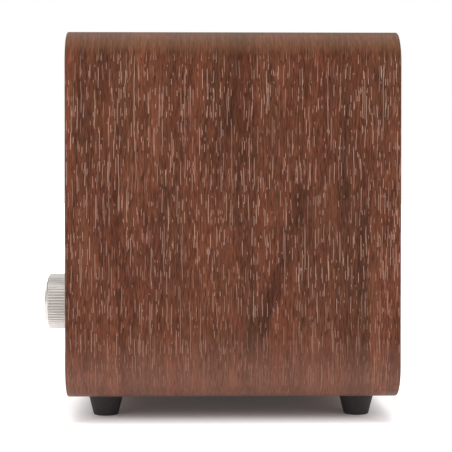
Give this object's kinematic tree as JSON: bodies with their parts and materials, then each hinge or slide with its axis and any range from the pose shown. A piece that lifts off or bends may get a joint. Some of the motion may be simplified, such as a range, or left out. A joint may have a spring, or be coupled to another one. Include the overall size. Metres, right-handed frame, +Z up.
{
  "type": "tabletop radio",
  "caption": "Compact wood-wrapped tabletop radio with a cloth-covered speaker, display, push buttons, a fluted tuning knob, rubber feet and a folding telescopic aerial.",
  "frame": {"origin": "bottom centre of the whole radio's box with the aerial folded, on the surface it stands on", "axes": "+Z up, the front faces -Y, +X is to the right of somebody facing the front"},
  "size_m": [0.29, 0.174, 0.1752],
  "materials": {
    "walnut_vinyl": "satin walnut-grain wrap over fibreboard",
    "pine": "planed, unfinished",
    "black_plastic": "fine moulded texture",
    "black_gloss": "gloss",
    "grille_fabric": "woven acoustic cloth",
    "clear_acrylic": "clear, polished",
    "satin_aluminium": "satin anodised",
    "bright_metal": "bright plated",
    "steel": "zinc plated",
    "rubber": "matt moulded",
    "circuit_board": "solder resist",
    "paper": "pressed pulp",
    "ferrite": "ground",
    "copper": "enamelled wire"
  },
  "bodies": {
    "chassis": {"cabinet_sleeve": "walnut_vinyl", "rear_batten_left": "pine", "rear_batten_right": "pine", "front_baffle": "black_plastic", "grille_frame": "black_plastic", "grille_cloth": "grille_fabric", "control_fascia": "black_plastic", "display_window": "clear_acrylic", "display_module": "black_gloss", "control_board": "circuit_board", "encoder_body": "steel", "encoder_nut": "steel", "speaker_basket": "steel", "speaker_surround": "rubber", "speaker_spider": "paper", "speaker_magnet": "ferrite", "speaker_top_plate": "steel", "speaker_yoke": "steel", "speaker_screw_1": "steel", "speaker_screw_2": "steel", "speaker_screw_3": "steel", "speaker_screw_4": "steel", "main_board": "circuit_board", "tuner_can": "steel", "heat_sink": "satin_aluminium", "rear_panel": "black_plastic", "bass_port": "black_plastic", "dc_inlet": "black_plastic", "aux_jack": "black_plastic", "headphone_jack": "black_plastic", "rocker_frame": "black_plastic", "rear_screw_1": "steel", "rear_screw_2": "steel", "rear_screw_3": "steel", "rear_screw_4": "steel", "aerial_bush": "bright_metal", "front_left_foot": "rubber", "front_right_foot": "rubber", "rear_left_foot": "rubber", "rear_right_foot": "rubber"},
    "encoder_push": {"encoder_plunger": "black_plastic"},
    "knob": {"encoder_shaft": "steel", "knob_body": "satin_aluminium", "knob_face": "satin_aluminium"},
    "power_button": {"power_button": "satin_aluminium"},
    "source_button": {"source_button": "satin_aluminium"},
    "menu_button": {"menu_button": "satin_aluminium"},
    "previous_button": {"previous_button": "satin_aluminium"},
    "next_button": {"next_button": "satin_aluminium"},
    "diaphragm": {"speaker_cone": "paper", "speaker_dust_cap": "paper", "speaker_voice_coil": "copper"},
    "rocker": {"power_rocker": "black_plastic"},
    "aerial_fork": {"aerial_swivel": "bright_metal", "aerial_pivot_pin": "steel"},
    "aerial_tube_1": {"aerial_section_1": "bright_metal"},
    "aerial_tube_2": {"aerial_section_2": "bright_metal"},
    "aerial_tube_3": {"aerial_section_3": "bright_metal"},
    "aerial_tube_4": {"aerial_section_4": "bright_metal", "aerial_tip": "bright_metal"}
  },
  "joints": [
    {"name": "knob_push", "type": "slide", "parent": "chassis", "child": "encoder_push", "axis": [0, 1, 0], "range_m": [0, 0.0005], "stiffness_N_per_m": 2000},
    {"name": "knob_turn", "type": "hinge", "parent": "encoder_push", "child": "knob", "pos_m": [0.09175, -0.073, 0.0499], "axis": [0, 1, 0], "continuous": true},
    {"name": "power_button_press", "type": "slide", "parent": "chassis", "child": "power_button", "axis": [0, 1, 0], "range_m": [0, 0.0005], "stiffness_N_per_m": 1000},
    {"name": "source_button_press", "type": "slide", "parent": "chassis", "child": "source_button", "axis": [0, 1, 0], "range_m": [0, 0.0005], "stiffness_N_per_m": 1000},
    {"name": "menu_button_press", "type": "slide", "parent": "chassis", "child": "menu_button", "axis": [0, 1, 0], "range_m": [0, 0.0005], "stiffness_N_per_m": 1000},
    {"name": "previous_button_press", "type": "slide", "parent": "chassis", "child": "previous_button", "axis": [0, 1, 0], "range_m": [0, 0.0005], "stiffness_N_per_m": 1000},
    {"name": "next_button_press", "type": "slide", "parent": "chassis", "child": "next_button", "axis": [0, 1, 0], "range_m": [0, 0.0005], "stiffness_N_per_m": 1000},
    {"name": "cone_travel", "type": "slide", "parent": "chassis", "child": "diaphragm", "axis": [0, 1, 0], "range_m": [-0.0015, 0.0015], "stiffness_N_per_m": 1200},
    {"name": "power_rocker_swing", "type": "hinge", "parent": "chassis", "child": "rocker", "pos_m": [0.105, 0.07, 0.118], "axis": [1, 0, 0], "range_deg": [0, 16]},
    {"name": "aerial_swivel_turn", "type": "hinge", "parent": "chassis", "child": "aerial_fork", "pos_m": [-0.112, 0.078, 0.152], "axis": [0, -1, 0], "range_deg": [0, 180]},
    {"name": "aerial_tilt", "type": "hinge", "parent": "aerial_fork", "child": "aerial_tube_1", "pos_m": [-0.112, 0.0825, 0.152], "axis": [0, 0, 1], "range_deg": [0, 90]},
    {"name": "aerial_extend_2", "type": "slide", "parent": "aerial_tube_1", "child": "aerial_tube_2", "axis": [1, 0, 0], "range_m": [0, 0.125]},
    {"name": "aerial_extend_3", "type": "slide", "parent": "aerial_tube_2", "child": "aerial_tube_3", "axis": [1, 0, 0], "range_m": [0, 0.125]},
    {"name": "aerial_extend_4", "type": "slide", "parent": "aerial_tube_3", "child": "aerial_tube_4", "axis": [1, 0, 0], "range_m": [0, 0.125]}
  ]
}
